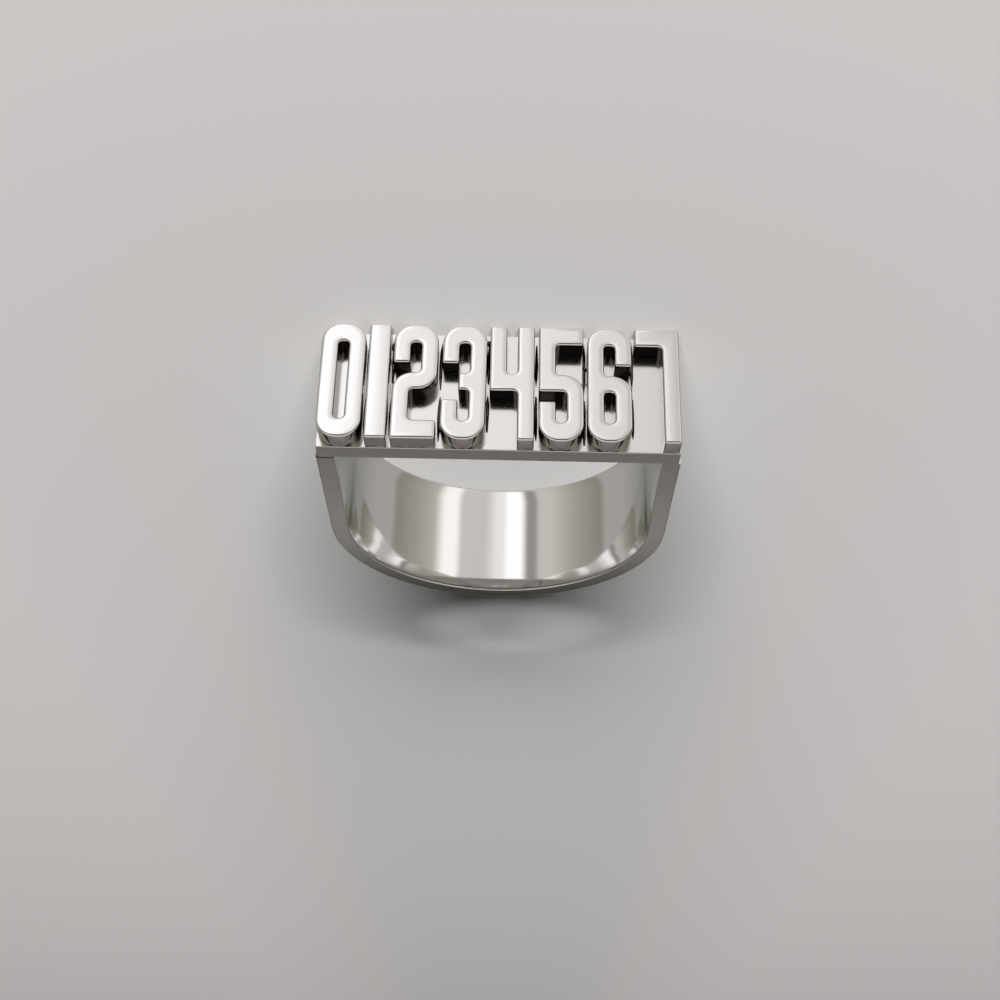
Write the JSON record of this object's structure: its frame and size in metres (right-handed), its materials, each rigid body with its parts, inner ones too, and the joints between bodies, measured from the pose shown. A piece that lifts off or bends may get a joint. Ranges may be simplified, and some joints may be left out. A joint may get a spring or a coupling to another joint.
{
  "type": "initial ring",
  "caption": "Polished square-top ring lying on its side: a D-shaped band of flat strip and a flat plate with a row of tall raised block numerals.",
  "frame": {"origin": "on the surface that the ring lies on, under the middle of the ring's outline", "axes": "+Z along the finger, up off the surface; -Y the way the numerals face; -X along the row of numerals, from left to right"},
  "size_m": [0.0202, 0.0212, 0.0074],
  "materials": {
    "polished_silver": "high polish on the faces and inside, fine satin on the edges"
  },
  "bodies": {
    "root": {"ring": "polished_silver"}
  },
  "joints": []
}
